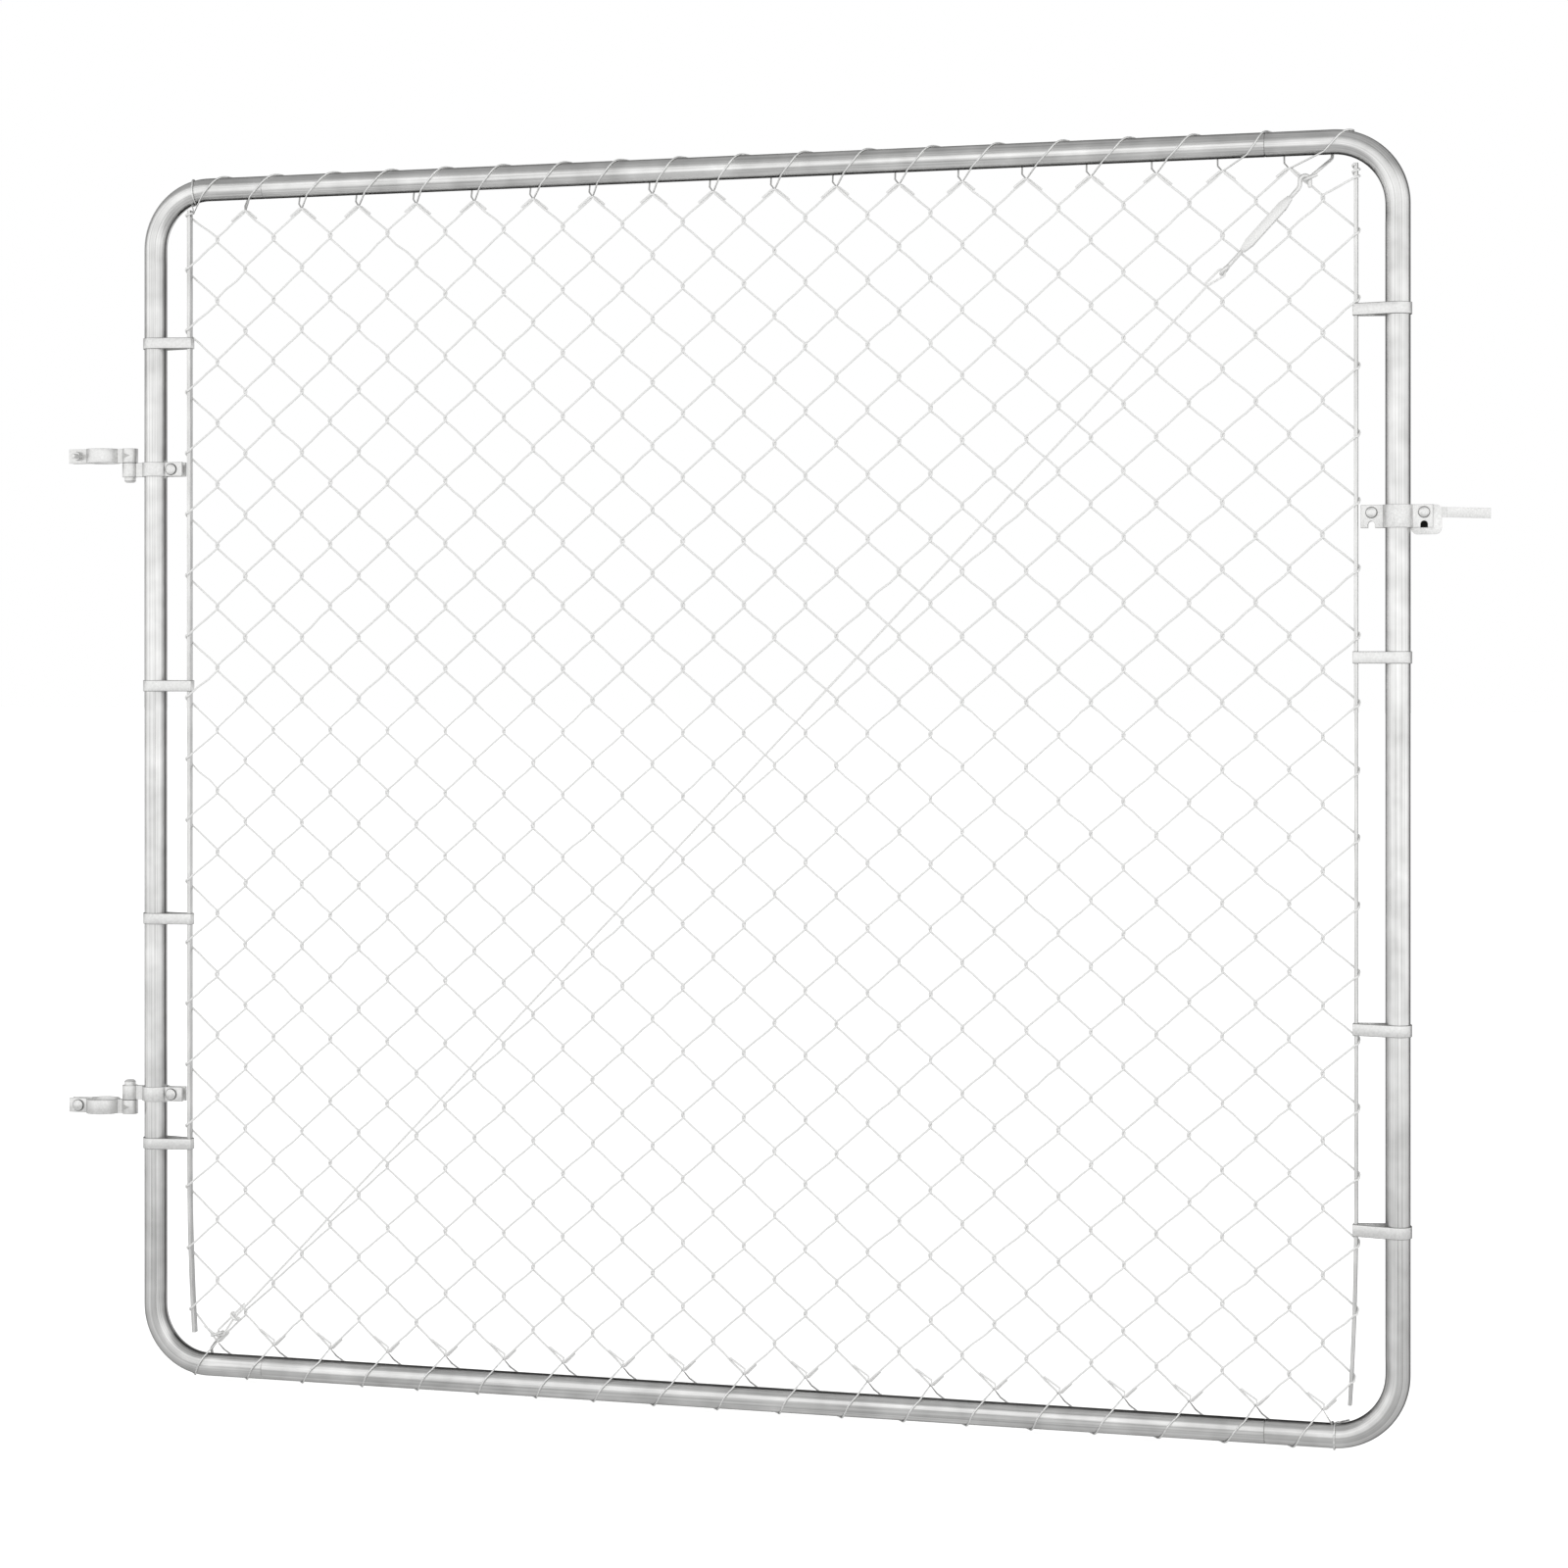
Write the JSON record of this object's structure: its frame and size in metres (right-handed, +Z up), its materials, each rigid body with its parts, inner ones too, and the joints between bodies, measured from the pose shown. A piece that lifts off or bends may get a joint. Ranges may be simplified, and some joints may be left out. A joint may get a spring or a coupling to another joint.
{
  "type": "chain link gate leaf",
  "caption": "Single swing gate leaf: round tube frame with rounded corners, chain link fabric, a tensioned brace cable, two pin hinges for a round post and a latch strike.",
  "frame": {"origin": "on the swing axis, at the flat lower face of the lower post bracket", "axes": "+X along the leaf from the hinge side to the latch side, -Y is the front, +Z is up"},
  "size_m": [1.9778, 0.0474, 1.6946],
  "materials": {
    "tube": "hot-dip galvanised, drawn tube",
    "bar": "galvanised flat bar",
    "band": "bright zinc pressed strip",
    "fabric": "galvanised woven wire",
    "tie_wire": "galvanised soft wire",
    "cable": "galvanised stranded cable",
    "brace_fittings": "zinc plated",
    "strap": "galvanised pressed strip",
    "pin": "zinc plated rod",
    "bolt": "zinc plated fastener",
    "strike": "galvanised pressed plate",
    "pad": "black rubber"
  },
  "bodies": {
    "post_side": {"lower_post_strap": "strap", "upper_post_strap": "strap", "lower_hinge_pin": "pin", "upper_hinge_pin": "pin", "lower_post_bolt": "bolt", "upper_post_bolt": "bolt", "lower_post_nut": "bolt", "upper_post_nut": "bolt"},
    "leaf": {"bottom_rail": "tube", "bottom_tie_wire": "tie_wire", "brace_cable": "cable", "cable_clip": "brace_fittings", "latch_back_clamp": "strike", "latch_front_clamp": "strike", "latch_left_bolt": "bolt", "latch_left_nut": "bolt", "latch_pad": "pad", "latch_right_bolt": "bolt", "latch_right_nut": "bolt", "left_band_1": "band", "left_band_2": "band", "left_band_3": "band", "left_band_4": "band", "left_fabric": "fabric", "left_frame_tube": "tube", "left_tension_bar": "bar", "lower_brace_link": "brace_fittings", "lower_frame_bolt": "bolt", "lower_frame_nut": "bolt", "lower_frame_strap": "strap", "right_band_1": "band", "right_band_2": "band", "right_band_3": "band", "right_band_4": "band", "right_fabric": "fabric", "right_frame_tube": "tube", "right_tension_bar": "bar", "strike_arm": "strike", "top_rail": "tube", "top_tie_wire": "tie_wire", "turnbuckle_body": "brace_fittings", "turnbuckle_eye": "brace_fittings", "turnbuckle_hook": "brace_fittings", "upper_brace_link": "brace_fittings", "upper_frame_bolt": "bolt", "upper_frame_nut": "bolt", "upper_frame_strap": "strap"}
  },
  "joints": [
    {"name": "leaf_swing", "type": "hinge", "parent": "post_side", "child": "leaf", "pos_m": [0, 0, 0], "axis": [0, 0, 1], "range_deg": [-100, 100]}
  ]
}
